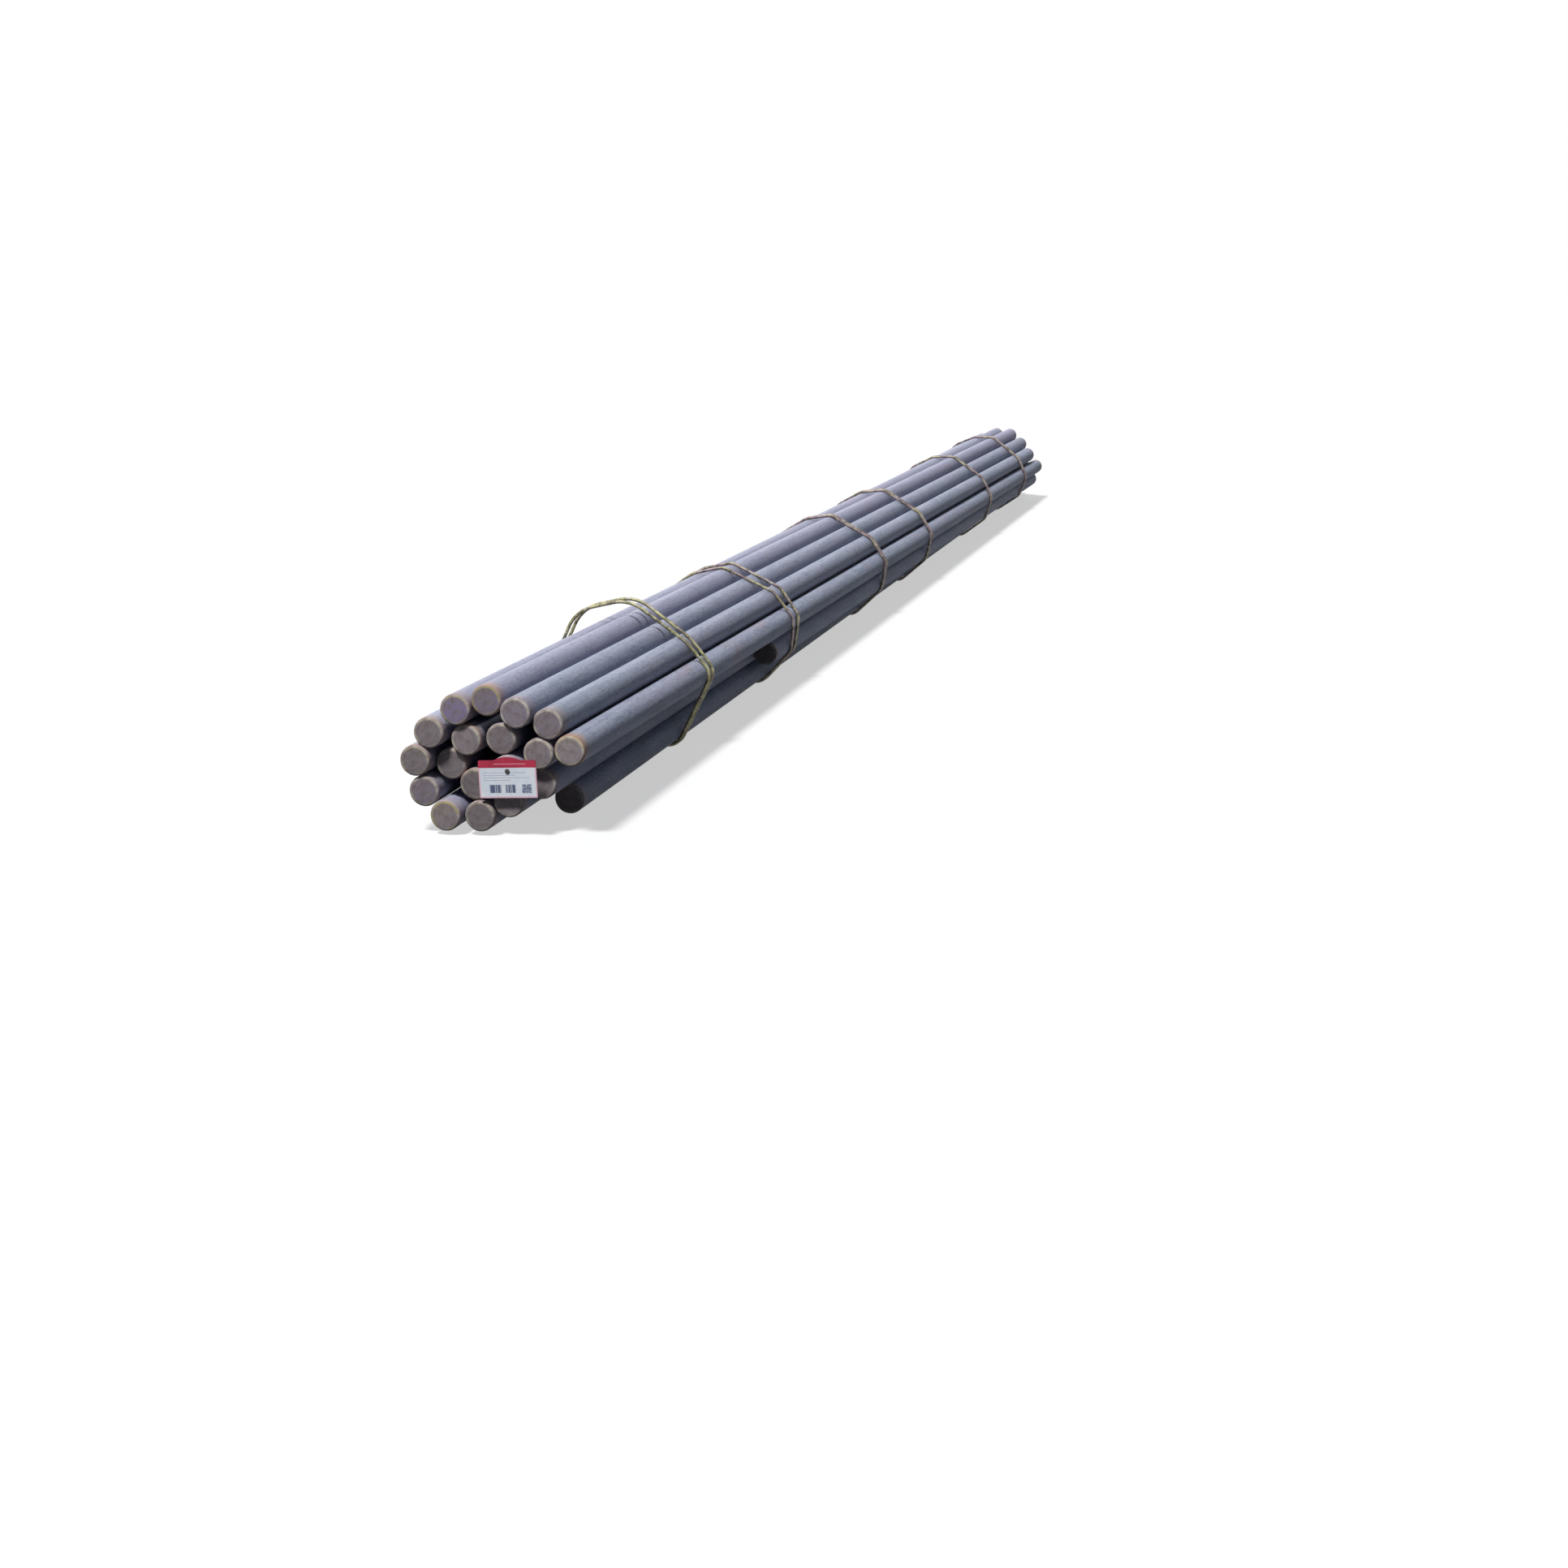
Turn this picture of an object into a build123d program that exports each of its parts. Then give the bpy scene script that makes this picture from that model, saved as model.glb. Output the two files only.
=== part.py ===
"""A tied bundle of plain hot-rolled round steel bars, lying on a level floor.

The bars run along +Y, the end with the tag faces -Y and +Z is up.
"""
from build123d import *
import os
from math import cos, hypot, pi, radians, sin, sqrt
from typing import NamedTuple

# Bars
bar_diameter = 50.0
bar_length = 6000.0
short_bar_length = 4600.0
bar_gap = 0.3
bundle_twist = 20.0

# Tie wire
wire_diameter = 6.5
wire_gap = 0.5
wire_sides = 5
turn_spacing_at_knot = 9.0
slack_radius = 70.0
knot_faces = (-0.94, -0.34)
twist_gap = 0.6
twist_pitch = 30.0
twist_steps = 5
twist_rise = 17.0
twist_reach = 15.0
least_bulge = 0.1

# Tag and nail
tag_width = 95.0
tag_height = 60.0
tag_thickness = 0.8
tag_corner_radius = 2.0
tag_hump_width = 44.0
tag_hump_height = 5.0
tag_gap = 0.3
tag_turn = 3.0
nail_diameter = 3.2
nail_head_diameter = 8.0
nail_head_height = 1.6
nail_hole_gap = 0.2
nail_gap = 0.1
nail_below_tag_top = 17.5
nail_right_of_bar = 2.7
nail_above_bar = 1.1

bar_radius = bar_diameter / 2
wire_radius = wire_diameter / 2
wire_reach = bar_radius + wire_gap + wire_radius
twist = radians(bundle_twist)

# Straight bars in a twisted bundle lie closest halfway along, so the ends are spread
end_pitch = (bar_diameter + bar_gap) / cos(twist / 2)


class Bar(NamedTuple):
    """One bar: place across the near end in pitches, how far it is pushed in, length, and lowest height."""
    name: str
    place: float
    pushed_in: float
    length: float = bar_length
    lowest: float = 0.0


class Tie(NamedTuple):
    """One tie: its share of the bundle's length, the spread of its turns, its twist, and its slack."""
    name: str
    share: float
    turn_spread: float
    twist_turns: float
    slack: tuple = ()


# From the floor up, in the order in which the bars are laid, as the photograph's end faces lie
bars = [
    Bar("round_bar_01", -1.58, -5),
    Bar("round_bar_02", -0.50, 2),
    Bar("round_bar_03", 1.44, 160),
    Bar("round_bar_04", -2.26, -3),
    Bar("round_bar_06", 0.39, 10),
    Bar("round_bar_05", -0.66, 6),
    Bar("round_bar_07", 1.33, 30),
    Bar("short_bar", 2.34, bar_length - short_bar_length, short_bar_length, 1.15),
    Bar("round_bar_08", -2.50, -8),
    Bar("round_bar_09", -1.48, 15),
    Bar("round_bar_10", 0.40, 0),
    Bar("round_bar_11", 1.35, 14),
    Bar("round_bar_12", 2.38, 9),
    Bar("round_bar_14", -0.90, 4),
    Bar("round_bar_13", -2.04, -6),
    Bar("round_bar_15", 0.20, 8),
    Bar("round_bar_16", 1.68, 12, bar_length - 100),
    Bar("round_bar_17", -1.18, -4),
    Bar("round_bar_19", 0.72, 0),
    Bar("round_bar_18", -0.22, 3),
]
tag_bar = "round_bar_10"

ties = [
    Tie("wire_tie_1", 0.133, 46, 1.6, ((-1.60, 3.85), (-0.10, 4.20))),
    Tie("wire_tie_2", 0.257, 90, 1.4),
    Tie("wire_tie_3", 0.437, 30, 1.8),
    Tie("wire_tie_4", 0.557, 34, 1.6),
    Tie("wire_tie_5", 0.762, 26, 1.6),
    Tie("wire_tie_6", 0.913, 30, 1.4),
]


def at(line, share):
    """The place (x, z) of a bar's axis at a share of the nominal length."""
    (near_x, near_z), (far_x, far_z) = line
    return near_x + (far_x - near_x) * share, near_z + (far_z - near_z) * share


def lay_bars():
    """Each bar's axis as two points (x, z): the near ends lie on one another, the far ends are twisted."""
    near = {}
    for bar in bars:
        x, z = bar.place * end_pitch, bar.lowest * end_pitch
        for other_x, other_z in near.values():
            if abs(x - other_x) < end_pitch:
                z = max(z, other_z + sqrt(end_pitch ** 2 - (x - other_x) ** 2))
        near[bar.name] = (x, z)
    middle_x = sum(x for x, _ in near.values()) / len(near)
    middle_z = sum(z for _, z in near.values()) / len(near)
    far = {}
    for name, (x, z) in near.items():
        across, up = x - middle_x, z - middle_z
        far[name] = (middle_x + across * cos(twist) + up * sin(twist), up * cos(twist) - across * sin(twist))
    lowest = min(z for _, z in far.values())
    return {name: (near[name], (x, z - lowest)) for name, (x, z) in far.items()}


def make_bar(bar, line):
    """One straight round bar, cut square at both ends."""
    near = at(line, bar.pushed_in / bar_length)
    far = at(line, (bar.pushed_in + bar.length) / bar_length)
    start = Vector(near[0], bar.pushed_in, near[1])
    end = Vector(far[0], bar.pushed_in + bar.length, far[1])
    with BuildPart() as rod:
        with BuildSketch(Plane(origin=start, z_dir=end - start)):
            Circle(bar_radius)
        extrude(amount=bar.length)
    return rod.part


def hull(points):
    """The corners of the smallest convex outline round the points, clockwise from the leftmost."""
    points = sorted(points)

    def chain(run):
        kept = []
        for point in run:
            while len(kept) > 1:
                (ax, az), (bx, bz) = kept[-2], kept[-1]
                length = hypot(point[0] - ax, point[1] - az)
                bulge = ((bx - ax) * (point[1] - az) - (bz - az) * (point[0] - ax)) / length
                if bulge < -least_bulge:
                    break
                kept.pop()
            kept.append(point)
        return kept

    return chain(points)[:-1] + chain(points[::-1])[:-1]


def tie_corners(centres):
    """Where the straight runs of a wire pulled round the bars would meet, outside each outer bar."""
    outline = hull(centres)
    corners = []
    for before, here, after in zip(outline[-1:] + outline[:-1], outline, outline[1:] + outline[:1]):
        normals = []
        for (ax, az), (bx, bz) in ((before, here), (here, after)):
            length = hypot(bx - ax, bz - az)
            normals.append((-(bz - az) / length, (bx - ax) / length))
        (mx, mz), (nx, nz) = normals
        share = wire_reach / (1 + mx * nx + mz * nz)
        corners.append((here[0] + (mx + nx) * share, here[1] + (mz + nz) * share, here))
    return corners


def make_tie(tie, axes):
    """One wire wound twice round the bars, its ends led outwards on the left side and twisted together."""
    station = tie.share * bar_length
    last_turn = station + tie.turn_spread
    centres = [at(axes[bar.name], tie.share) for bar in bars if bar.pushed_in < last_turn]
    slack = [(x * end_pitch, z * end_pitch) for x, z in tie.slack]
    corners = tie_corners(centres + slack)

    # The knot lies on the run that faces most to the left and down
    def knot_side(index):
        (ax, az, _), (bx, bz, _) = corners[index - 1], corners[index]
        return ((az - bz) * knot_faces[0] + (bx - ax) * knot_faces[1]) / hypot(bx - ax, bz - az)

    first = max(range(len(corners)), key=knot_side)
    corners = corners[first:] + corners[:first]
    (ax, az, _), (bx, bz, _) = corners[-1], corners[0]
    run = hypot(bx - ax, bz - az)
    up = Vector((bx - ax) / run, 0, (bz - az) / run)
    out = Vector(-up.Z, 0, up.X)
    knot = Vector((ax + bx) / 2, station, (az + bz) / 2)

    # The turns lie furthest apart on the top and close up on the right
    side = turn_spacing_at_knot
    bow = (tie.turn_spread - side) / 2
    count = len(corners)
    turns = [[], []]
    for index, (x, z, _) in enumerate(corners):
        part_way = (index + 0.5) / count
        drift = bow * sin(pi * sqrt(part_way)) ** 2
        turns[0].append(Vector(x, station - side * (1 - part_way) - drift, z))
        turns[1].append(Vector(x, station + side * part_way + drift, z))
    radii = [slack_radius if centre in slack else wire_reach for _, _, centre in corners]

    def tail(sign):
        """The points of one twisted end, from the wire's bend on the bars outwards."""
        points = [knot + up * (twist_reach * -sign) + Vector(0, side * sign, 0)]
        spin_radius = (wire_diameter + twist_gap) / 2 / cos(pi / twist_steps)
        for step in range(round(tie.twist_turns * twist_steps) + 1):
            angle = 2 * pi * step / twist_steps
            rise = twist_rise + twist_pitch * step / twist_steps
            across = Vector(0, spin_radius * cos(angle) * sign, 0) + up * (spin_radius * sin(angle) * sign)
            points.append(knot + out * rise + across)
        return points

    start, end = tail(-1)[::-1], tail(1)
    points = start + turns[0] + turns[1] + end
    sharp = [0] * (len(start) - 1)
    with BuildPart() as wire:
        with BuildLine() as path:
            FilletPolyline(*points, radius=sharp + radii + radii + sharp)
        with BuildSketch(Plane(origin=path.line @ 0, z_dir=path.line % 0)):
            RegularPolygon(wire_radius, wire_sides)
        sweep(transition=Transition.RIGHT)
    return wire.part, sum(edge.length for edge in path.edges())


def make_tag(hang):
    """The tag, a thin plate turned a little on its nail, with a low hump on its top edge and a hole."""
    half = tag_width / 2
    top = nail_below_tag_top
    hump = tag_hump_width / 2
    with BuildPart() as tag:
        with BuildSketch(Plane.XZ) as face:
            with BuildLine():
                Polyline((hump, top), (half, top), (half, top - tag_height), (-half, top - tag_height),
                         (-half, top), (-hump, top))
                ThreePointArc((-hump, top), (0, top + tag_hump_height), (hump, top))
            make_face()
            columns = face.vertices().group_by(Axis.X)
            fillet(columns[0] + columns[-1], tag_corner_radius)
            Circle(nail_diameter / 2 + nail_hole_gap, mode=Mode.SUBTRACT)
        extrude(amount=tag_thickness)
    return tag.part.moved(Location(hang, (0, -tag_turn, 0)))


def make_nail(hang, bar_face):
    """The nail, its shank standing on the bar's end face and its head in front of the tag."""
    head_back = hang.Y - tag_thickness - tag_gap
    foot = bar_face - nail_gap
    with BuildPart() as nail:
        with BuildSketch(Plane(origin=(hang.X, foot, hang.Z), x_dir=(1, 0, 0), z_dir=(0, -1, 0))):
            Circle(nail_diameter / 2)
        extrude(amount=foot - head_back)
        with BuildSketch(Plane(origin=(hang.X, head_back, hang.Z), x_dir=(1, 0, 0), z_dir=(0, -1, 0))):
            Circle(nail_head_diameter / 2)
        extrude(amount=nail_head_height)
    return nail.part


os.makedirs("parts", exist_ok=True)
axes = lay_bars()
pieces = {bar.name: make_bar(bar, axes[bar.name]) for bar in bars}
for tie in ties:
    pieces[tie.name], wire_length = make_tie(tie, axes)
    print(tie.name, "is made of", round(wire_length), "mm of wire")
tag_bar_face = next(bar.pushed_in for bar in bars if bar.name == tag_bar)
tag_bar_x, tag_bar_z = at(axes[tag_bar], 0)
hang = Vector(tag_bar_x + nail_right_of_bar, -tag_gap, tag_bar_z + nail_above_bar)
pieces["bundle_tag"] = make_tag(hang)
pieces["tag_nail"] = make_nail(hang, tag_bar_face)

# The origin is the middle of the underside
box = Compound(list(pieces.values())).bounding_box()
to_origin = Location((-box.center().X, -box.center().Y, -box.min.Z))
for name, piece in pieces.items():
    piece = piece.moved(to_origin)
    piece.label = name
    export_step(piece, f"parts/{name}.step")
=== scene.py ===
"""A tied bundle of hot-rolled round steel bars on a pale studio floor, seen from its tagged end."""
from math import atan2, ceil, cos, hypot, pi, radians, sin, tan
import random
import bmesh
import bpy
from mathutils import Matrix, Vector, noise


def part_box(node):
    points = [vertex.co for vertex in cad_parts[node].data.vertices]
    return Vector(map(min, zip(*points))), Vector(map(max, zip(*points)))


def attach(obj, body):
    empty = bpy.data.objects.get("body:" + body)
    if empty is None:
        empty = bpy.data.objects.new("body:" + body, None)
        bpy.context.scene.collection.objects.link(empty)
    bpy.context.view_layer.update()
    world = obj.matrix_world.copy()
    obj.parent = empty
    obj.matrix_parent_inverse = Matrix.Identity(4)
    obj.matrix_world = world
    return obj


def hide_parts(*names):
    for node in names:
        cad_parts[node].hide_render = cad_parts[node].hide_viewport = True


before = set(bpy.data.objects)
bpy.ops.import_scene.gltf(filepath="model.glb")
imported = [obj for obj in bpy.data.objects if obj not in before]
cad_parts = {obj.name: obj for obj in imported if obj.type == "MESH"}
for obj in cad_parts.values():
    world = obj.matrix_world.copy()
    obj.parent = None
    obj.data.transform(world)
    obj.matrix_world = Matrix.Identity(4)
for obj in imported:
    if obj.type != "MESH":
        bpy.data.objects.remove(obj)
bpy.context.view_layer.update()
scene = bpy.context.scene
BARS = sorted(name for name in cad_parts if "bar" in name)
TIES = sorted(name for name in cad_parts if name.startswith("wire_tie"))

# Bars, in metres: the pitch is that of the near ends, and an end face lies within its depth along +Y
BAR_RADIUS = 0.025
BAR_SIDES = 72
END_PITCH = 0.051076
END_FACE_DEPTH = 0.0009

# A bar's cut end, in metres: its rings as (radius, depth), the depths of the first rings on the skin,
# how far the cut may lean as a slope, and where its rim starts, is drawn in, waves and has nicks
CUT_RINGS = ((0.012, 0), (0.019, 0), (0.0215, 0.0001), (0.0228, 0.0005), (0.0239, 0.0012),
             (0.0247, 0.0022), (BAR_RADIUS, 0.0036))
SKIN_RINGS = (0.006, 0.02, 0.06, 0.15, 0.5)
CUT_ROWS = 4
CUT_LEAN = 0.012
LEAN_ENDS_AT = 0.02
RAGGED_OUTSIDE = 0.021
RAGGED_UP_TO = 0.003
RIM_DRAWN_IN = 0.008
RIM_WAVES = 0.012
RIM_NICKS = 0.0009
RIM_STARTS_AT = 0.0205
RIM_WIDTH = 0.0018
RIM_UP_TO = 0.004

# Tie wire, in metres. Each tie has its share of the bundle's length, the spread of its turns,
# the turns of its twisted ends, and the points of its slack as (x, z) in pitches
BUNDLE_LENGTH = 6.0
WIRE_RADIUS = 0.00325
WIRE_REACH = BAR_RADIUS + 0.0005 + WIRE_RADIUS
WIRE_SIDES = 12
WIRE_END_SHRINK = 0.86
SLACK_RADIUS = 0.070
LEAST_BULGE = 0.0001
TURN_SPACING = 0.009
KNOT_FACES = (-0.94, -0.34)
TWIST_RADIUS = 0.00355
TWIST_PITCH = 0.030
TWIST_STEPS = 20
TWIST_RISE = 0.017
TWIST_REACH = 0.015
TIE_SHAPES = {
    "wire_tie_1": (0.133, 0.046, 1.6, ((-1.60, 3.85), (-0.10, 4.20))),
    "wire_tie_2": (0.257, 0.090, 1.4, ()),
    "wire_tie_3": (0.437, 0.030, 1.8, ()),
    "wire_tie_4": (0.557, 0.034, 1.6, ()),
    "wire_tie_5": (0.762, 0.026, 1.6, ()),
    "wire_tie_6": (0.913, 0.030, 1.4, ()),
}

# The bar whose near end lies at the start of the bundle's length, and its place across in pitches
START_BAR = "round_bar_19"
START_BAR_PLACE = 0.72

# A wire's rounded corners: the least turn that counts and the turn of one step, in radians, and
# the share of a straight run that a corner may take
LEAST_TURN = 0.002
TURN_STEP = 0.12
MOST_OF_RUN = 0.49

# Tag, in metres
TAG_WIDTH = 0.095
TAG_HEIGHT = 0.060
TAG_THICKNESS = 0.0008
TAG_CORNER = 0.002
TAG_CORNER_STEPS = 4
TAG_HUMP_WIDTH = 0.044
TAG_HUMP_HEIGHT = 0.005
TAG_TURN = radians(3)
TAG_BOW = 0.0011
TAG_COLUMN = 0.002
TAG_COLUMNS = 22
TAG_ROWS = 28
NAIL_BELOW_TOP = 0.0175
NAIL_HOLE = 0.0018
HOLE_CUT = 0.0024
NEAR_HOLE = 0.006
HOLE_EDGE = 0.0035

# The tag's plain print, in metres from the nail
RULES_START = -0.040
RULE_THICKNESS = 0.0012
RULES = ((-0.0030, 0.030), (-0.0070, 0.012), (-0.0110, 0.036), (-0.0150, 0.004))
BLOCKS = (
    ((-0.0310, -0.0115, -0.0345, -0.0215), (0.0011,)),
    ((-0.0055, 0.0115, -0.0345, -0.0215), (0.0013,)),
    ((0.0225, 0.0380, -0.0350, -0.0210), (0.001, 0.001)),
)
BORDER_WIDTH = 0.0022
HEADER_LOW = 0.0055
HEADER_RULE = (-0.022, 0.030, 0.0105, 0.0125)

# Nail, in metres: the rings of its head as (height over the head's back, radius)
NAIL_SIDES = 28
NAIL_RADIUS = 0.0016
NAIL_FOOT_RADIUS = 0.0013
NAIL_FOOT_HEIGHT = 0.0002
NAIL_HEAD_HEIGHT = 0.0016
NAIL_HEAD_RINGS = ((0, 0.0037), (0.0005, 0.004), (0.0010, 0.0038), (0.0014, 0.0028),
                   (NAIL_HEAD_HEIGHT, 0.0012))

# End faces with a look of their own: lightness, ochre rust and violet cast, 0 to 1. The low lightness of
# round_bar_03 and short_bar is painted shade, as if they lay in the shadow of the bars above
FACE_LOOKS_AND_SHADE = {
    "round_bar_01": (0.70, 0.9, 0.0),
    # Painted shade: this face is darkened as if in the shadow of the bars above it
    "round_bar_03": (0.45, 0.1, 0.0),
    "round_bar_10": (0.40, 0.2, 0.0),
    "round_bar_12": (0.80, 0.5, 0.0),
    "round_bar_16": (0.62, 0.15, 0.1),
    "round_bar_17": (0.66, 0.55, 0.8),
    "round_bar_18": (0.60, 0.8, 0.4),
    "round_bar_19": (0.74, 0.10, 0.2),
    # Painted shade: this face is darkened as if in the shadow of the bars above it
    "short_bar": (0.25, 0.0, 0.0),
}

# The bars whose skin the photograph shows as clearly lavender, or as plain blue grey, 0 to 1
LAVENDER = {
    "round_bar_12": 0.0,
    "round_bar_16": 0.1,
    "round_bar_17": 0.8,
    "round_bar_18": 0.9,
    "round_bar_19": 0.2,
}

# The bar whose skin is clearly rusty beside its cut, and how far each tie has rusted, 0 to 1
WARMTH = {"round_bar_12": 0.9}
WIRE_RUST = {
    "wire_tie_1": 0.10,
    "wire_tie_2": 0.65,
    "wire_tie_3": 0.85,
    "wire_tie_4": 0.75,
    "wire_tie_5": 0.8,
    "wire_tie_6": 0.8,
}

# The photograph: its size and middle, the focal length, and where the lines of the bars meet, in pixels
PHOTO_SIZE = 1932
PHOTO_CENTRE = (966, 966)
FOCAL_PIXELS = 3100
BARS_MEET = (1668, 322)

# One place of the tagged end in the photograph, its bars' width there, and where it lies from
# round_bar_01's end
ANCHOR_PIXEL = (620, 900)
ANCHOR_BAR_PIXELS = 39.5
ANCHOR_FROM_BAR_01 = Vector((0.0982, 0.005, 0.140))

# The lamps as (energy, softness in degrees, direction from the object), and the world's fill
KEY_LAMP = (3.6, 10, (-0.14, -0.48, 0.86))
BACK_LAMP = (1.1, 40, (-0.38, 0.88, 0.28))
FILL_COLOUR = (0.66, 0.76, 1.0, 1)
FILL_STRENGTH = 0.08

# The floor's size in metres, the colour that lights the object, and what the camera sees
FLOOR_SIZE = 120
FLOOR_DULL = (0.08, 0.085, 0.10, 1)
FLOOR_PALE = (0.95, 0.95, 0.95, 1)
FLOOR_GLOW = 0.55


# --- Places from the frame ---

def bar_ends(name):
    """The middles of a bar's two end faces."""
    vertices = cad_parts[name].data.vertices
    corners = {tuple(round(value, 5) for value in vertex.co) for vertex in vertices}
    middle = sum(corner[1] for corner in corners) / len(corners)
    found = []
    for side in (-1, 1):
        ring = [Vector(corner) for corner in corners if (corner[1] - middle) * side > 0]
        reach = max(corner.y * side for corner in ring)
        ring = [corner for corner in ring if corner.y * side > reach - END_FACE_DEPTH]
        found.append(sum(ring, Vector()) / len(ring))
    return found


ends = {name: bar_ends(name) for name in BARS}


def axis_at(name, station):
    """A bar's axis at a station along the bundle, as (x, z)."""
    start, end = ends[name]
    place = start.lerp(end, (station - start.y) / (end.y - start.y))
    return place.x, place.z


# --- Meshes ---

def new_piece(name, mesh, materials, replaces):
    """A finished piece that rides on the bundle and stands for a CAD node."""
    piece = bpy.data.objects.new(name, mesh)
    for material in materials:
        mesh.materials.append(material)
    scene.collection.objects.link(piece)
    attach(piece, "root")
    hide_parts(replaces)
    return piece


def ring_mesh(name, rings):
    """A mesh from rings of points, all of the same count, with flat caps."""
    mesh = bpy.data.meshes.new(name)
    count = len(rings[0])
    faces = []
    for row in range(len(rings) - 1):
        for side in range(count):
            beside = (side + 1) % count
            here, there = row * count, (row + 1) * count
            faces.append((here + side, here + beside, there + beside, there + side))
    faces.append(tuple(range(count))[::-1])
    faces.append(tuple((len(rings) - 1) * count + side for side in range(count)))
    mesh.from_pydata([point for ring in rings for point in ring], [], faces)
    mesh.update()
    return mesh


def smooth_sides(mesh):
    """Shade the sides of a ring mesh smooth and leave its caps flat."""
    for polygon in mesh.polygons:
        polygon.use_smooth = len(polygon.vertices) == 4


def set_values(mesh, name, values):
    """Store one number for each point of a mesh."""
    attribute = mesh.attributes.new(name, "FLOAT", "POINT")
    attribute.data.foreach_set("value", values)


def bar_mesh(name, length):
    """A bar along +Z: cut faces with a rounded, slightly ragged rim, and a straight round skin."""
    chance = random.Random(name)
    seed = Vector((chance.uniform(0, 90), 1.7, 0.4))
    near = [(radius, depth, radius > RAGGED_OUTSIDE) for radius, depth in CUT_RINGS]
    near += [(BAR_RADIUS, depth, False) for depth in SKIN_RINGS]
    far = [(BAR_RADIUS, length / 2, False)] + near[::-1]
    rings, from_end, rim = [], [], []
    for end, rows in enumerate((near, far)):
        lean = Vector((chance.uniform(-CUT_LEAN, CUT_LEAN), chance.uniform(-CUT_LEAN, CUT_LEAN)))
        for radius, depth, ragged in rows:
            ring = []
            for side in range(BAR_SIDES):
                angle = 2 * pi * side / BAR_SIDES
                spot = Vector((cos(angle), sin(angle), end * 3)) * 1.6 + seed
                rough = noise.noise(spot * 2) * 0.6 + noise.noise(spot * 5) * 0.4
                here = radius
                if ragged and depth < RAGGED_UP_TO:
                    here = radius * (1 - RIM_DRAWN_IN - RIM_WAVES * rough)
                x, y = here * cos(angle), here * sin(angle)
                cut = 0
                if depth < LEAN_ENDS_AT:
                    fade = 1 - depth / LEAN_ENDS_AT
                    cut = (lean.x * x + lean.y * y + lean.length * BAR_RADIUS) * fade
                    if ragged:
                        cut += max(0, rough) * RIM_NICKS
                down = depth + cut
                ring.append((x, y, length - down if end else down))
                from_end.append(down)
                on_rim = min(1, max(0, (radius - RIM_STARTS_AT) / RIM_WIDTH))
                rim.append(on_rim if depth < RIM_UP_TO else 0)
            rings.append(ring)
    mesh = ring_mesh(name, rings)
    set_values(mesh, "from_end", from_end)
    set_values(mesh, "rim", rim)
    for polygon in mesh.polygons:
        lowest = min(polygon.vertices) // BAR_SIDES
        highest = max(polygon.vertices) // BAR_SIDES
        on_cut = highest <= CUT_ROWS or lowest >= len(rings) - 1 - CUT_ROWS
        polygon.material_index = 1 if on_cut else 0
        polygon.use_smooth = True
    return mesh


def arc_line(points, radii):
    """Points along a line of straight runs with its corners rounded to given radii."""
    line = [points[0]]
    for before, here, after, radius in zip(points, points[1:], points[2:], radii):
        back, ahead = before - here, after - here
        turn = pi - back.angle(ahead)
        if turn < LEAST_TURN:
            continue
        reach = min(radius * tan(turn / 2), MOST_OF_RUN * min(back.length, ahead.length))
        radius = reach / tan(turn / 2)
        start, end = here + back.normalized() * reach, here + ahead.normalized() * reach
        inwards = (back.normalized() + ahead.normalized()).normalized()
        middle = here + inwards * (radius / cos(turn / 2))
        steps = max(2, ceil(turn / TURN_STEP))
        first, last = start - middle, end - middle
        for step in range(steps + 1):
            share = step / steps
            spoke = (first * sin((1 - share) * turn) + last * sin(share * turn)) / sin(turn)
            line.append(middle + spoke)
    line.append(points[-1])
    return line


def tube_mesh(name, line, radius):
    """A round wire along a line, a little thinner at its two cut ends."""
    rings, travelled = [], []
    side = Vector((0, 0, 1))
    distance = 0
    for index, point in enumerate(line):
        before, after = line[max(index - 1, 0)], line[min(index + 1, len(line) - 1)]
        heading = (after - before).normalized()
        side = (side - heading * side.dot(heading)).normalized()
        across = heading.cross(side)
        if index:
            distance += (point - before).length
        shrink = WIRE_END_SHRINK if index in (0, len(line) - 1) else 1
        ring = []
        for step in range(WIRE_SIDES):
            angle = 2 * pi * step / WIRE_SIDES
            ring.append(point + (side * cos(angle) + across * sin(angle)) * radius * shrink)
        rings.append(ring)
        travelled.extend([distance] * WIRE_SIDES)
    mesh = ring_mesh(name, rings)
    set_values(mesh, "travelled", travelled)
    smooth_sides(mesh)
    return mesh


# --- Ties ---

def hull(points):
    """The corners of the smallest convex outline round the points, clockwise from the leftmost."""
    points = sorted(points)

    def chain(run):
        kept = []
        for point in run:
            while len(kept) > 1:
                (ax, az), (bx, bz) = kept[-2], kept[-1]
                length = hypot(point[0] - ax, point[1] - az)
                bulge = ((bx - ax) * (point[1] - az) - (bz - az) * (point[0] - ax)) / length
                if bulge < -LEAST_BULGE:
                    break
                kept.pop()
            kept.append(point)
        return kept

    return chain(points)[:-1] + chain(points[::-1])[:-1]


def tie_corners(centres):
    """Where the straight runs of a wire pulled round the bars would meet, outside each outer bar."""
    outline = hull(centres)
    corners = []
    for before, here, after in zip(outline[-1:] + outline[:-1], outline, outline[1:] + outline[:1]):
        normals = []
        for (ax, az), (bx, bz) in ((before, here), (here, after)):
            length = hypot(bx - ax, bz - az)
            normals.append((-(bz - az) / length, (bx - ax) / length))
        (mx, mz), (nx, nz) = normals
        share = WIRE_REACH / (1 + mx * nx + mz * nz)
        corners.append((here[0] + (mx + nx) * share, here[1] + (mz + nz) * share, here))
    return corners


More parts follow.
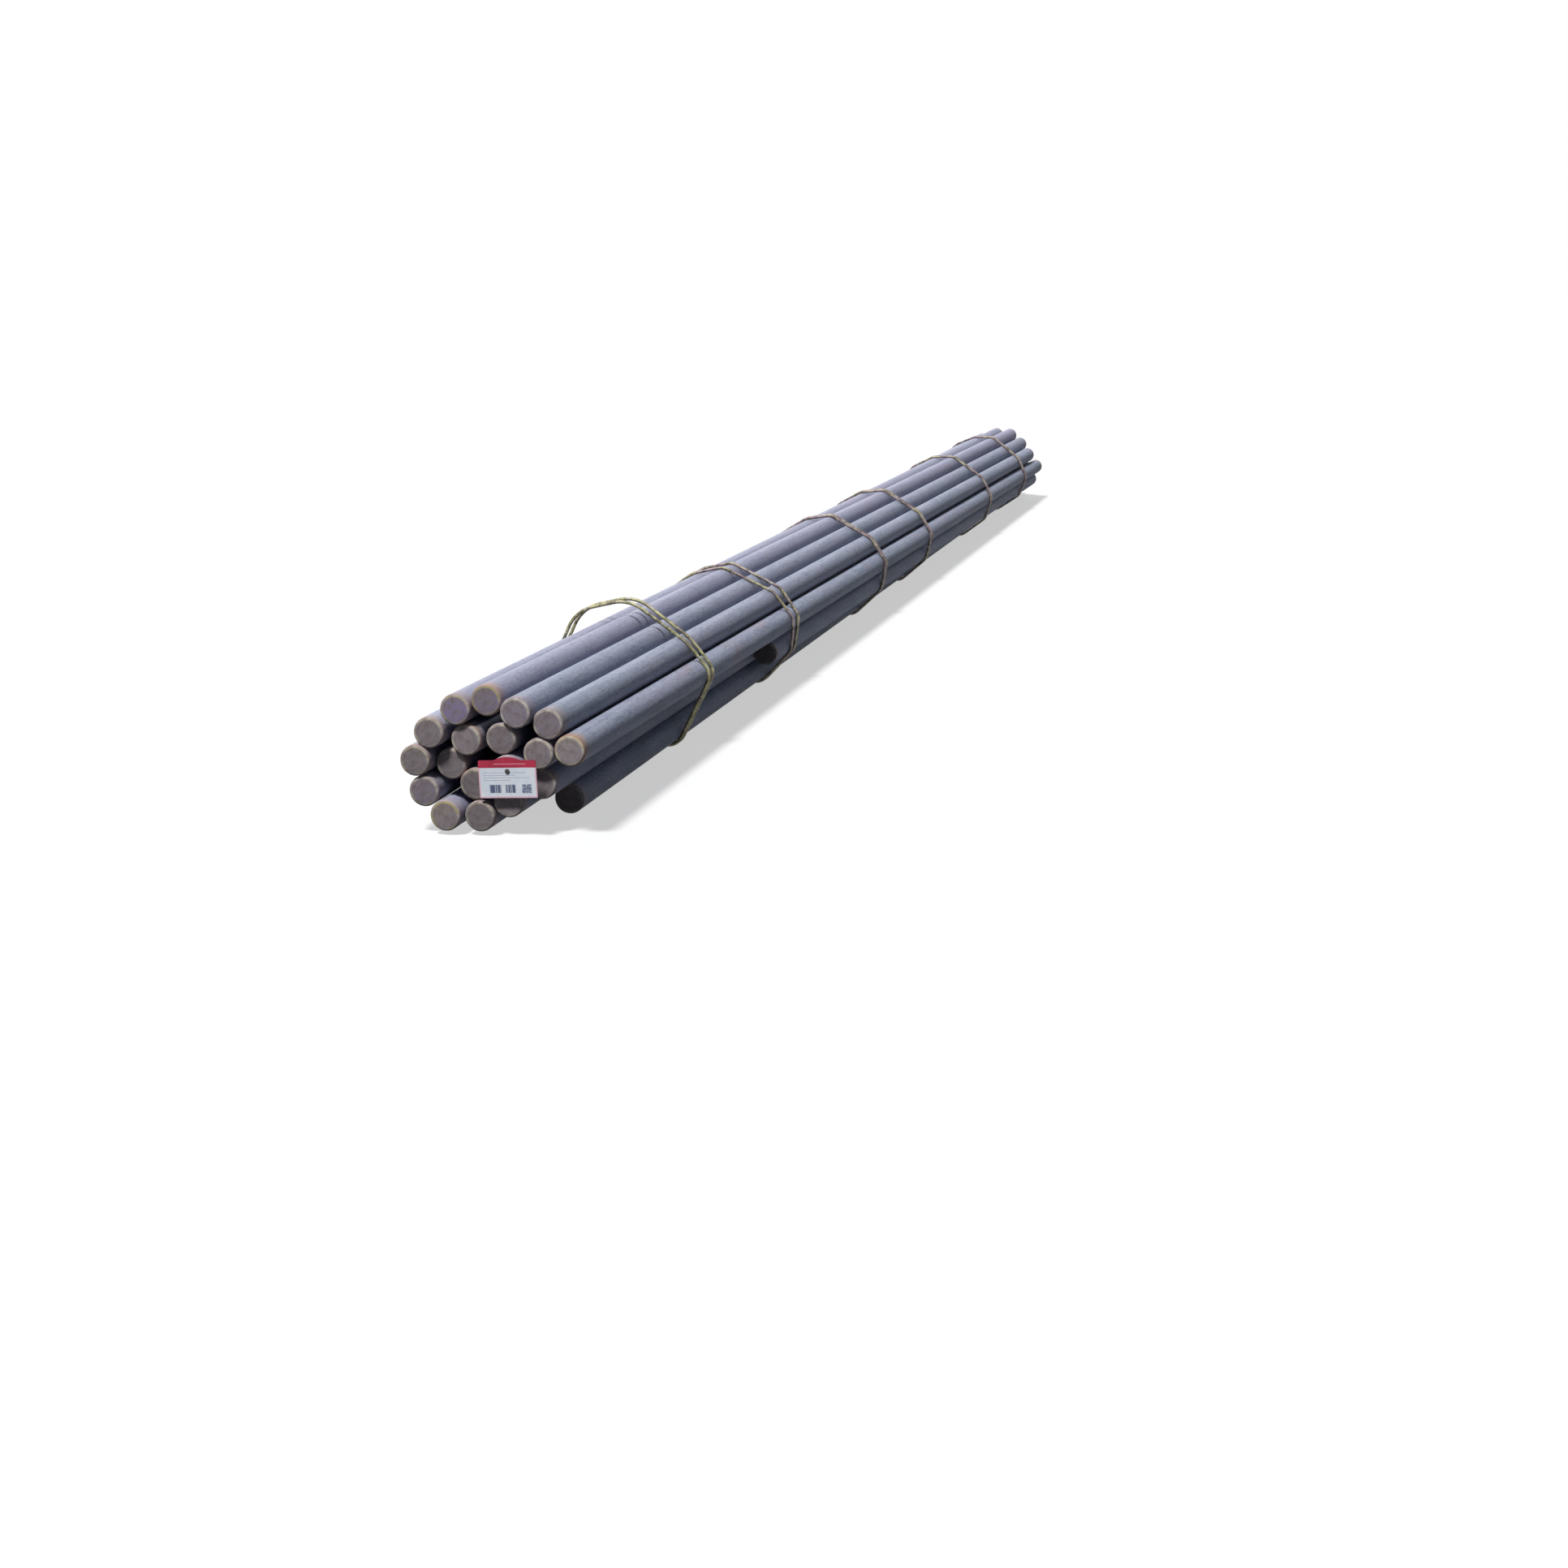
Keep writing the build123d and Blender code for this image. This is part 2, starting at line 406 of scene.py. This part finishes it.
def tie_line(name):
    """The middle line of one tie: two turns round the bars, its ends twisted together on the left."""
    share, spread, twist_turns, slack = TIE_SHAPES[name]
    origin = ends[START_BAR][0] - Vector((START_BAR_PLACE * END_PITCH, 0, 0))
    station = origin.y + share * BUNDLE_LENGTH
    floor_z = min(start.z for start, _ in ends.values())
    centres = [axis_at(bar, station) for bar in BARS if ends[bar][0].y < station + spread]
    slack = [(origin.x + x * END_PITCH, floor_z + z * END_PITCH) for x, z in slack]
    corners = tie_corners(centres + slack)

    # The knot lies on the run that faces most to the left and down
    def knot_side(index):
        (ax, az, _), (bx, bz, _) = corners[index - 1], corners[index]
        facing = (az - bz) * KNOT_FACES[0] + (bx - ax) * KNOT_FACES[1]
        return facing / hypot(bx - ax, bz - az)

    first = max(range(len(corners)), key=knot_side)
    corners = corners[first:] + corners[:first]
    (ax, az, _), (bx, bz, _) = corners[-1], corners[0]
    run = hypot(bx - ax, bz - az)
    up = Vector(((bx - ax) / run, 0, (bz - az) / run))
    out = Vector((-up.z, 0, up.x))
    knot = Vector(((ax + bx) / 2, station, (az + bz) / 2))

    # The turns lie furthest apart on the top and close up on the right
    bow = (spread - TURN_SPACING) / 2
    turns = [[], []]
    for index, (x, z, _) in enumerate(corners):
        part_way = (index + 0.5) / len(corners)
        drift = bow * sin(pi * part_way ** 0.5) ** 2
        turns[0].append(Vector((x, station - TURN_SPACING * (1 - part_way) - drift, z)))
        turns[1].append(Vector((x, station + TURN_SPACING * part_way + drift, z)))
    radii = [SLACK_RADIUS if centre in slack else WIRE_REACH for _, _, centre in corners]

    def tail(sign):
        """The points of one twisted end, from the wire's bend on the bars outwards."""
        points = [knot + up * (TWIST_REACH * -sign) + Vector((0, TURN_SPACING * sign, 0))]
        for step in range(round(twist_turns * TWIST_STEPS) + 1):
            angle = 2 * pi * step / TWIST_STEPS
            rise = TWIST_RISE + TWIST_PITCH * step / TWIST_STEPS
            across = Vector((0, cos(angle), 0)) + up * sin(angle)
            points.append(knot + out * rise + across * (TWIST_RADIUS * sign))
        return points

    start, end = tail(-1)[::-1], tail(1)
    points = start + turns[0] + turns[1] + end
    bends = [TWIST_REACH] * (len(start) - 1)
    return arc_line(points, bends + radii + radii + bends)


# --- Tag and nail ---

def tag_columns():
    """The places across the tag of its mesh's columns, closer together at the rounded corners."""
    quarter = pi / 2 / TAG_CORNER_STEPS
    left = [-TAG_WIDTH / 2 + TAG_CORNER * (1 - cos(quarter * step))
            for step in range(TAG_CORNER_STEPS + 1)]
    left += [-TAG_COLUMN * step for step in range(TAG_COLUMNS, 0, -1)]
    columns = sorted(set(round(x, 6) for x in left) | {0.0})
    return columns + [-x for x in columns[::-1] if x < 0]


def tag_mesh(name):
    """A thin tag round its nail at (0, 0): rounded corners, a low hump on top and a slight bow."""
    half, top, bottom = TAG_WIDTH / 2, NAIL_BELOW_TOP, NAIL_BELOW_TOP - TAG_HEIGHT
    hump, rise = TAG_HUMP_WIDTH / 2, TAG_HUMP_HEIGHT
    hump_radius = (hump ** 2 + rise ** 2) / (2 * rise)
    mesh = bmesh.new()
    grid = []
    for x in tag_columns():
        edge = min(TAG_CORNER, max(0, abs(x) - (half - TAG_CORNER)))
        inset = TAG_CORNER - (TAG_CORNER ** 2 - edge ** 2) ** 0.5
        high = top - inset
        if abs(x) < hump:
            high = top + rise - hump_radius + (hump_radius ** 2 - x ** 2) ** 0.5
        low = bottom + inset
        column = []
        for row in range(TAG_ROWS + 1):
            z = low + (high - low) * row / TAG_ROWS
            drop = (top - z) / TAG_HEIGHT
            bow = 0.9 * (x / half) ** 2 * (0.4 + 0.6 * drop) + 0.5 * drop ** 2
            column.append(mesh.verts.new((x, -TAG_BOW * bow, z)))
        grid.append(column)
    for left, right in zip(grid, grid[1:]):
        for row in range(TAG_ROWS):
            mesh.faces.new((left[row], right[row], right[row + 1], left[row + 1]))

    # The hole is cut out, and its edge drawn in to a circle
    in_hole = [face for face in mesh.faces if face.calc_center_median().xz.length < HOLE_CUT]
    bmesh.ops.delete(mesh, geom=in_hole, context="FACES")
    edges = [edge for edge in mesh.edges
             if edge.is_boundary and edge.verts[0].co.xz.length < NEAR_HOLE]
    made = bmesh.ops.extrude_edge_only(mesh, edges=edges)
    for vertex in made["geom"]:
        if isinstance(vertex, bmesh.types.BMVert):
            flat = vertex.co.xz.normalized() * NAIL_HOLE
            vertex.co = Vector((flat.x, 0, flat.y))

    # The back is a copy of the front, joined to it along the rim and the hole
    front = mesh.faces[:] + mesh.edges[:] + mesh.verts[:]
    back = bmesh.ops.duplicate(mesh, geom=front)["geom"]
    for item in back:
        if isinstance(item, bmesh.types.BMVert):
            item.co.y += TAG_THICKNESS
    back_faces = [item for item in back if isinstance(item, bmesh.types.BMFace)]
    bmesh.ops.reverse_faces(mesh, faces=back_faces)
    loops = [edge for edge in mesh.edges if edge.is_boundary]
    hole = [edge for edge in loops if edge.verts[0].co.xz.length < HOLE_EDGE]
    outside = [edge for edge in loops if edge.verts[0].co.xz.length > HOLE_EDGE]
    bmesh.ops.bridge_loops(mesh, edges=hole)
    bmesh.ops.bridge_loops(mesh, edges=outside)
    result = bpy.data.meshes.new(name)
    bmesh.ops.recalc_face_normals(mesh, faces=mesh.faces)
    mesh.to_mesh(result)
    mesh.free()
    return result


def nail_mesh(name, length):
    """A nail along -Y: its shank stands on the bar's face, its head is a low dome with a round rim."""
    profile = [(0.0, NAIL_FOOT_RADIUS), (NAIL_FOOT_HEIGHT, NAIL_RADIUS), (length, NAIL_RADIUS)]
    profile += [(length + height, radius) for height, radius in NAIL_HEAD_RINGS]
    angles = [2 * pi * side / NAIL_SIDES for side in range(NAIL_SIDES)]
    rings = [[(radius * cos(angle), -depth, radius * sin(angle)) for angle in angles]
             for depth, radius in profile]
    mesh = ring_mesh(name, rings)
    smooth_sides(mesh)
    return mesh


# --- Materials ---

def rgb(red, green, blue):
    """A colour as seen on a screen, 0 to 255, for a shader."""
    def linear(value):
        return value / 255 / 12.92 if value < 11 else ((value / 255 + 0.055) / 1.055) ** 2.4

    return linear(red), linear(green), linear(blue), 1.0


class Nodes:
    """Short calls that add nodes to one material."""

    def __init__(self, name):
        self.material = bpy.data.materials.new(name)
        self.material.use_nodes = True
        self.tree = self.material.node_tree
        self.shader = self.tree.nodes["Principled BSDF"]

    def add(self, kind, inputs=(), **settings):
        """A new node with its inputs fed by sockets or set to values."""
        node = self.tree.nodes.new("ShaderNode" + kind)
        for key, value in settings.items():
            setattr(node, key, value)
        for key, value in dict(inputs).items():
            self.feed(node.inputs[key], value)
        return node

    def feed(self, socket, value):
        """Link a socket to another, or set its own value."""
        if isinstance(value, bpy.types.NodeSocket):
            self.tree.links.new(value, socket)
        else:
            socket.default_value = value

    def set(self, **inputs):
        """Feed the shader's sockets, with _ in the names for each space."""
        for key, value in inputs.items():
            self.feed(self.shader.inputs[key.replace("_", " ")], value)

    def coords(self):
        """The piece's own coordinates."""
        return self.add("TexCoord").outputs["Object"]

    def noise(self, scale, detail=4, roughness=0.6, vector=None):
        inputs = {"Vector": vector or self.coords(), "Scale": scale,
                  "Detail": detail, "Roughness": roughness}
        return self.add("TexNoise", inputs).outputs["Fac"]

    def math(self, operation, first, second=0.0, clamp=False):
        node = self.add("Math", {0: first, 1: second}, operation=operation, use_clamp=clamp)
        return node.outputs[0]

    def vector(self, operation, first, second):
        return self.add("VectorMath", {0: first, 1: second}, operation=operation).outputs[0]

    def step(self, value, low, high, out_low=0.0, out_high=1.0):
        """A smooth step from one value to another."""
        inputs = {"Value": value, "From Min": low, "From Max": high,
                  "To Min": out_low, "To Max": out_high}
        return self.add("MapRange", inputs, interpolation_type="SMOOTHSTEP").outputs["Result"]

    def mix(self, factor, first, second):
        return self.add("Mix", {0: factor, 6: first, 7: second}, data_type="RGBA").outputs[2]

    def layer(self, colour, value, low, high, strength, over):
        """One colour laid over another where a value goes from low to high."""
        return self.mix(self.step(value, low, high, 0, strength), colour, over)

    def value(self, name, kind="GEOMETRY"):
        """A number stored in the mesh, or with kind OBJECT one set on the whole piece."""
        return self.add("Attribute", attribute_name=name, attribute_type=kind).outputs["Fac"]

    def bump(self, height, distance, strength):
        inputs = {"Height": height, "Distance": distance, "Strength": strength}
        self.set(Normal=self.add("Bump", inputs).outputs["Normal"])


def bar_skin():
    """Blue-grey mill scale, mottled and flecked, with faint streaks and rust, warmer by the cuts."""
    m = Nodes("mill_scale")
    warmth = m.value("warmth", "OBJECT")
    shift = m.value("shift", "OBJECT")
    shifted = m.vector("ADD", m.coords(), m.add("CombineXYZ", {0: shift, 1: shift, 2: shift}).outputs[0])

    def stretched(share):
        """Coordinates that stretch a texture along the bar."""
        return m.vector("MULTIPLY", shifted, (1, 1, share))

    streaks = m.noise(90, detail=5, roughness=0.65, vector=stretched(0.05))
    patches = m.noise(14, detail=6, roughness=0.65, vector=stretched(0.25))
    mottle = m.noise(52, detail=7, roughness=0.75, vector=stretched(0.28))
    flecks = m.noise(210, detail=5, roughness=0.8, vector=stretched(0.35))
    scratches = m.noise(330, detail=3, vector=stretched(0.012))
    colour = m.mix(m.step(streaks, 0.34, 0.66), rgb(160, 167, 184), rgb(178, 184, 200))
    for value, low, high, strength, over in (
            (patches, 0.44, 0.66, 0.6, rgb(174, 170, 188)),
            (patches, 0.46, 0.34, 0.5, rgb(144, 156, 170)),
            (mottle, 0.49, 0.65, 0.50, rgb(126, 133, 152)),
            (mottle, 0.46, 0.32, 0.40, rgb(196, 201, 212)),
            (flecks, 0.53, 0.66, 0.55, rgb(92, 97, 116)),
            (flecks, 0.45, 0.34, 0.50, rgb(216, 219, 226)),
            (scratches, 0.58, 0.70, 0.35, rgb(204, 208, 218)),
            (scratches, 0.42, 0.32, 0.30, rgb(112, 118, 138))):
        colour = m.layer(colour, value, low, high, strength, over)
    lavender = m.math("MULTIPLY", m.value("lavender", "OBJECT"), 0.40)
    colour = m.mix(lavender, colour, rgb(172, 164, 188))
    rust = m.noise(22, detail=6, roughness=0.7, vector=stretched(0.25))
    rust = m.math("MULTIPLY", m.step(rust, 0.54, 0.72), m.step(warmth, 0, 1, 0.1, 0.4))
    colour = m.mix(rust, colour, rgb(166, 140, 130))
    ragged_end = m.math("ADD", m.value("from_end"), m.math("MULTIPLY", patches, 0.07))
    near_cut = m.step(ragged_end, 0.030, 0.075, 1, 0)
    near_cut = m.math("MULTIPLY", near_cut, m.step(warmth, 0, 1, 0.35, 1))
    colour = m.mix(near_cut, colour, rgb(188, 158, 140))
    toned = {"Color": colour, "Saturation": 1.2, "Value": m.value("tone", "OBJECT")}
    m.set(Base_Color=m.add("HueSaturation", toned).outputs["Color"], Specular_IOR_Level=0.12)
    m.set(Roughness=m.step(mottle, 0.3, 0.7, 0.74, 0.58))
    relief = m.math("ADD", m.math("MULTIPLY", mottle, 0.8), m.math("MULTIPLY", flecks, 0.4))
    m.bump(relief, 0.0014, 0.6)
    return m.material


def cut_face():
    """A bar's sheared end: taupe grey, with shear marks, a pale rim that is part wear and part painted
    highlight, ochre rust or a violet cast.
    """
    m = Nodes("cut_steel")
    light = m.value("cut_light", "OBJECT")
    turn = {"Vector": m.coords(), "Angle": m.math("MULTIPLY", light, 9.0)}
    turned = m.add("VectorRotate", turn, rotation_type="Z_AXIS").outputs[0]
    marks = m.noise(170, detail=5, roughness=0.7, vector=m.vector("MULTIPLY", turned, (1, 0.3, 1)))
    blots = m.noise(85, detail=5, roughness=0.65)
    grain = m.noise(420, detail=4, roughness=0.75)
    colour = m.mix(m.step(marks, 0.32, 0.68), rgb(129, 118, 120), rgb(153, 142, 144))
    colour = m.layer(colour, blots, 0.47, 0.66, 0.65, rgb(148, 143, 151))
    colour = m.layer(colour, blots, 0.45, 0.32, 0.65, rgb(103, 91, 94))
    colour = m.layer(colour, grain, 0.53, 0.68, 0.5, rgb(82, 73, 77))
    violet = m.math("MULTIPLY", m.step(blots, 0.36, 0.60), m.value("violet", "OBJECT"))
    colour = m.mix(violet, colour, rgb(142, 128, 172))
    rim = m.value("rim")
    # The pale rim is part wear and part a painted highlight of the rolled edge
    rim_wear_and_highlight = m.step(m.noise(40, detail=4, roughness=0.6), 0.42, 0.62, 0.15, 0.85)
    rim_wear_and_highlight = m.math("MULTIPLY", m.step(rim, 0.0, 0.6), rim_wear_and_highlight)
    colour = m.mix(rim_wear_and_highlight, colour, rgb(216, 208, 194))
    patchy = m.step(m.noise(26, detail=5, roughness=0.65), 0.42, 0.56)
    ochre = m.math("MULTIPLY", patchy, m.step(rim, 0.0, 0.6, 0.12, 1))
    ochre = m.math("MULTIPLY", ochre, m.value("ochre", "OBJECT"))
    colour = m.mix(ochre, colour, rgb(172, 158, 104))
    # Each face's lightness; the dark faces of round_bar_03 and short_bar are painted shade
    toned = {"Color": colour, "Value": m.step(light, 0, 1, 0.30, 1.10)}
    m.set(Base_Color=m.add("HueSaturation", toned).outputs["Color"], Specular_IOR_Level=0.25)
    m.set(Roughness=m.step(marks, 0.3, 0.7, 0.72, 0.56))
    relief = m.math("ADD", m.math("MULTIPLY", marks, 0.8), m.math("MULTIPLY", grain, 0.3))
    m.bump(relief, 0.0007, 0.5)
    return m.material


def wire_skin():
    """Annealed tie wire: olive grey, with pale spots that are part bright bare wire and part painted
    highlight, going to grey-brown rust.
    """
    m = Nodes("tie_wire")
    mottle = m.noise(75, detail=5, roughness=0.7)
    fine = m.noise(600, detail=4, roughness=0.7)
    olive = m.mix(m.step(mottle, 0.38, 0.62), rgb(108, 106, 74), rgb(196, 192, 146))
    brown = m.mix(m.step(mottle, 0.4, 0.6), rgb(98, 84, 86), rgb(162, 144, 146))
    uneven = m.step(m.noise(20, detail=5, roughness=0.7), 0.40, 0.60, -0.4, 0.4)
    colour = m.mix(m.math("ADD", uneven, m.value("rust", "OBJECT"), clamp=True), olive, brown)
    colour = m.layer(colour, fine, 0.53, 0.68, 0.7, rgb(60, 52, 48))
    # Pale spots along the wire: part bright bare wire, part painted highlight
    along = m.add("CombineXYZ", {0: m.value("travelled")}).outputs[0]
    bright_wire_and_highlight = m.noise(45, detail=3, vector=along)
    colour = m.layer(colour, bright_wire_and_highlight, 0.55, 0.70, 0.6, rgb(214, 212, 202))
    m.set(Base_Color=colour, Metallic=0.3, Roughness=m.step(mottle, 0.35, 0.65, 0.38, 0.58))
    m.bump(m.math("ADD", fine, mottle), 0.0004, 0.6)
    return m.material


def tag_print():
    """Pale plastic with a red head band, a thin pink border, faint rules and plain blocks."""
    m = Nodes("tag_print")
    across, _, up = m.add("SeparateXYZ", {0: m.coords()}).outputs

    def box(left, right, low, high):
        """1 inside a rectangle of the tag, 0 outside."""
        level = m.math("MULTIPLY", m.math("GREATER_THAN", up, low), m.math("LESS_THAN", up, high))
        inside = m.math("MULTIPLY", m.math("GREATER_THAN", across, left),
                        m.math("LESS_THAN", across, right))
        return m.math("MULTIPLY", inside, level)

    def cells(width, height=None):
        """Upright bars of random strength, or with a height a grid of such cells."""
        place = {0: m.math("FLOOR", m.math("DIVIDE", across, width))}
        if height:
            place[1] = m.math("FLOOR", m.math("DIVIDE", up, height))
        vector = m.add("CombineXYZ", place).outputs[0]
        strength = m.add("TexWhiteNoise", {"Vector": vector}).outputs["Value"]
        return m.step(strength, 0.25, 0.45, 0.35, 1)

    colour = m.mix(m.step(m.noise(40, detail=3), 0.35, 0.65), rgb(222, 230, 240), rgb(236, 240, 246))
    for low, right in RULES:
        rule = box(RULES_START, right, low, low + RULE_THICKNESS)
        colour = m.mix(m.math("MULTIPLY", rule, 0.6), colour, rgb(150, 160, 186))
    for area, size in BLOCKS:
        colour = m.mix(m.math("MULTIPLY", box(*area), cells(*size)), colour, rgb(84, 94, 124))
    red = m.mix(m.step(m.noise(55, detail=4), 0.35, 0.65), rgb(160, 30, 60), rgb(188, 44, 74))
    header = m.mix(box(*HEADER_RULE), red, rgb(222, 120, 138))
    edge = m.mix(m.math("LESS_THAN", up, HEADER_LOW), header, rgb(238, 190, 206))
    right, bottom = TAG_WIDTH / 2 - BORDER_WIDTH, NAIL_BELOW_TOP - TAG_HEIGHT + BORDER_WIDTH
    colour = m.mix(box(-right, right, bottom, HEADER_LOW), edge, colour)
    dirt = m.noise(22, detail=6, roughness=0.7)
    colour = m.layer(colour, dirt, 0.56, 0.76, 0.3, rgb(150, 140, 132))
    m.set(Base_Color=colour, Roughness=0.42)
    m.bump(m.noise(60, detail=2), 0.0004, 0.3)
    return m.material


def nail_skin():
    """Dark oxidised nail with small worn spots."""
    m = Nodes("nail_steel")
    wear = m.noise(600, detail=4)
    colour = m.mix(m.step(wear, 0.5, 0.68), rgb(58, 54, 56), rgb(120, 104, 92))
    m.set(Base_Color=colour, Metallic=0.5, Roughness=m.step(wear, 0.4, 0.7, 0.5, 0.35))
    m.bump(wear, 0.0002, 0.5)
    return m.material


# --- Pieces ---

def lay_bar(index, name, materials):
    """One bar where its CAD node lies, with its own tone, rust and look of the cuts; on round_bar_03 and
    short_bar the dark cut is painted shade.
    """
    start, end = ends[name]
    mesh = bar_mesh(name + "_rolled", (end - start).length)
    piece = new_piece(name + "_rolled", mesh, materials, name)
    along = (end - start).normalized()
    level = (Vector((1, 0, 0)) - along * along.x).normalized()
    axes = Matrix((level, along.cross(level), along)).transposed().to_4x4()
    piece.matrix_world = Matrix.Translation(start) @ axes
    chance = random.Random(index * 13 + 5)
    guessed = (chance.uniform(0.45, 0.8), chance.uniform(0.0, 0.4), max(0.0, chance.uniform(-0.4, 0.3)))
    piece["cut_light"], piece["ochre"], piece["violet"] = FACE_LOOKS_AND_SHADE.get(name, guessed)
    piece["tone"] = chance.uniform(0.80, 0.95)
    piece["shift"] = chance.random()
    piece["lavender"] = LAVENDER.get(name, max(0.0, chance.uniform(-0.5, 0.8)))
    piece["warmth"] = WARMTH[name] if name in WARMTH else chance.uniform(0.1, 0.6)


def wind_tie(name, material):
    """One round tie wire in place of its CAD node."""
    mesh = tube_mesh(name + "_wire", tie_line(name), WIRE_RADIUS)
    piece = new_piece(name + "_wire", mesh, (material,), name)
    piece["rust"] = WIRE_RUST[name]


def hang_tag():
    """The tag, turned a little on its nail, and the nail."""
    nail_low, nail_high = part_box("tag_nail")
    nail_x, nail_z = (nail_low[0] + nail_high[0]) / 2, (nail_low[2] + nail_high[2]) / 2
    tag_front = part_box("bundle_tag")[0][1]
    tag = new_piece("bundle_tag_plate", tag_mesh("bundle_tag_plate"), (tag_print(),),
                    "bundle_tag")
    tag.location = (nail_x, tag_front, nail_z)
    tag.rotation_euler = (0, -TAG_TURN, 0)
    shank = nail_high[1] - nail_low[1] - NAIL_HEAD_HEIGHT
    nail = new_piece("tag_nail_domed", nail_mesh("tag_nail_domed", shank), (nail_skin(),),
                     "tag_nail")
    nail.location = (nail_x, nail_high[1], nail_z)


# --- Camera, light and floor ---

def place_camera():
    """The camera at the photograph's viewing angle."""
    over = PHOTO_CENTRE[1] - BARS_MEET[1]
    pitch = atan2(over, FOCAL_PIXELS)
    heading = atan2(BARS_MEET[0] - PHOTO_CENTRE[0], hypot(over, FOCAL_PIXELS))
    turn = Matrix.Rotation(heading, 3, "Z") @ Matrix.Rotation(pi / 2 - pitch, 3, "X")
    depth = FOCAL_PIXELS * 2 * BAR_RADIUS / ANCHOR_BAR_PIXELS
    ray = Vector((ANCHOR_PIXEL[0] - PHOTO_CENTRE[0], PHOTO_CENTRE[1] - ANCHOR_PIXEL[1], -FOCAL_PIXELS))
    anchor = ends["round_bar_01"][0] + ANCHOR_FROM_BAR_01
    camera = bpy.data.objects.new("camera", bpy.data.cameras.new("camera"))
    camera.data.lens = camera.data.sensor_width * FOCAL_PIXELS / PHOTO_SIZE
    camera.location = anchor - turn @ ray * (depth / FOCAL_PIXELS)
    camera.rotation_euler = turn.to_euler()
    scene.collection.objects.link(camera)
    scene.camera = camera


def seen_directly(tree):
    """1 for what the camera sees, itself, in a reflection or through something clear."""
    path = tree.nodes.new("ShaderNodeLightPath")
    total = path.outputs["Is Camera Ray"]
    for other in ("Is Glossy Ray", "Is Transmission Ray"):
        more = tree.nodes.new("ShaderNodeMath")
        more.operation = "MAXIMUM"
        tree.links.new(total, more.inputs[0])
        tree.links.new(path.outputs[other], more.inputs[1])
        total = more.outputs[0]
    return total


def blend_shaders(tree, factor, first, second):
    """A mix of two shaders, with a socket or a number as its factor."""
    blend = tree.nodes.new("ShaderNodeMixShader")
    if isinstance(factor, bpy.types.NodeSocket):
        tree.links.new(factor, blend.inputs[0])
    else:
        blend.inputs[0].default_value = factor
    tree.links.new(first.outputs[0], blend.inputs[1])
    tree.links.new(second.outputs[0], blend.inputs[2])
    return blend


def light_world():
    """A white background, and a soft, slightly blue fill on the object."""
    scene.world = scene.world or bpy.data.worlds.new("studio")
    scene.world.use_nodes = True
    tree = scene.world.node_tree
    tree.nodes.clear()
    fill, white = (tree.nodes.new("ShaderNodeBackground") for _ in range(2))
    fill.inputs["Color"].default_value = FILL_COLOUR
    fill.inputs["Strength"].default_value = FILL_STRENGTH
    white.inputs["Color"].default_value = (1, 1, 1, 1)
    both = blend_shaders(tree, seen_directly(tree), fill, white)
    tree.links.new(both.outputs[0], tree.nodes.new("ShaderNodeOutputWorld").inputs[0])


def lay_floor():
    """A plain floor that looks white, keeps the shadow and throws little light back."""
    bpy.ops.mesh.primitive_plane_add(size=FLOOR_SIZE)
    floor = bpy.context.object
    floor.name = "floor"
    material = bpy.data.materials.new("studio_floor")
    material.use_nodes = True
    tree = material.node_tree
    tree.nodes.clear()
    dull, pale = (tree.nodes.new("ShaderNodeBsdfDiffuse") for _ in range(2))
    dull.inputs["Color"].default_value = FLOOR_DULL
    pale.inputs["Color"].default_value = FLOOR_PALE
    seen = blend_shaders(tree, FLOOR_GLOW, pale, tree.nodes.new("ShaderNodeEmission"))
    both = blend_shaders(tree, seen_directly(tree), dull, seen)
    tree.links.new(both.outputs[0], tree.nodes.new("ShaderNodeOutputMaterial").inputs[0])
    floor.data.materials.append(material)


def hang_lamp(name, energy, softness, towards):
    """A soft distant lamp that stands in a given direction from the object."""
    lamp = bpy.data.objects.new(name, bpy.data.lights.new(name, "SUN"))
    lamp.data.energy = energy
    lamp.data.angle = radians(softness)
    lamp.rotation_euler = Vector(towards).to_track_quat("Z", "Y").to_euler()
    scene.collection.objects.link(lamp)


bar_materials = (bar_skin(), cut_face())
for index, name in enumerate(BARS):
    lay_bar(index, name, bar_materials)
wire = wire_skin()
for name in TIES:
    wind_tie(name, wire)
hang_tag()
place_camera()
light_world()
lay_floor()
hang_lamp("key", *KEY_LAMP)
hang_lamp("back", *BACK_LAMP)
scene.view_settings.view_transform = "Standard"
